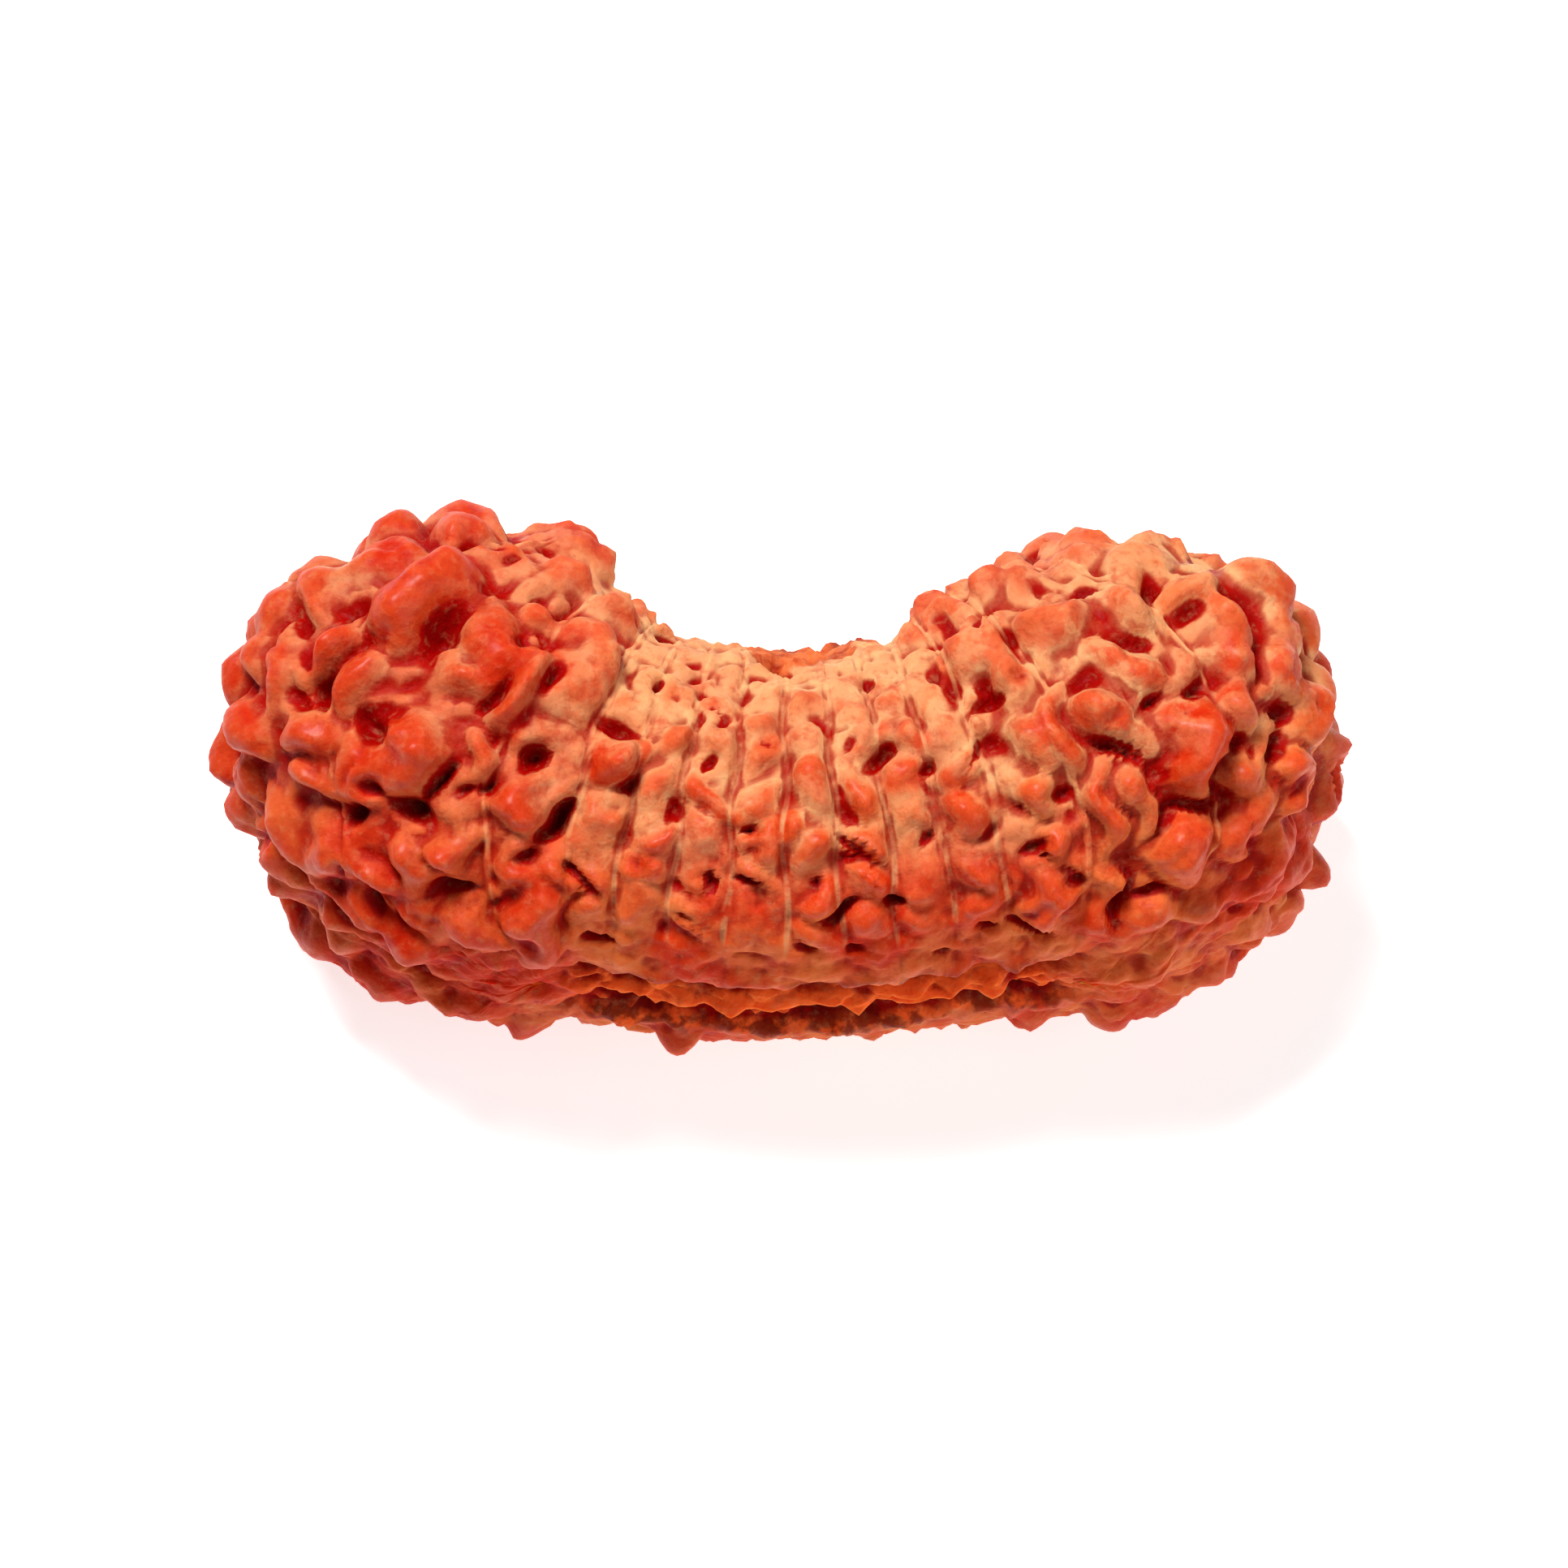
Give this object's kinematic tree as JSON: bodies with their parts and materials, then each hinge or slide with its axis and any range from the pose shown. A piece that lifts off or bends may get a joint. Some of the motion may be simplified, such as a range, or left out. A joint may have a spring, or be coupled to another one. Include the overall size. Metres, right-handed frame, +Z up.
{
  "type": "rudraksha bead",
  "caption": "Crescent rudraksha bead: two knobbly lobes joined by a narrower ribbed waist, with a long furrow along its outer curve.",
  "frame": {"origin": "on the surface that the bead rests on, under the middle of its box", "axes": "+X from the left lobe to the right lobe, +Y from the furrow to the saddle, +Z up as the bead lies on its back"},
  "size_m": [0.04, 0.018, 0.0185],
  "materials": {
    "bead": "waxy half-gloss, tomato red on the knobs, paler and drier in the valleys"
  },
  "bodies": {
    "root": {"bead": "bead"}
  },
  "joints": []
}
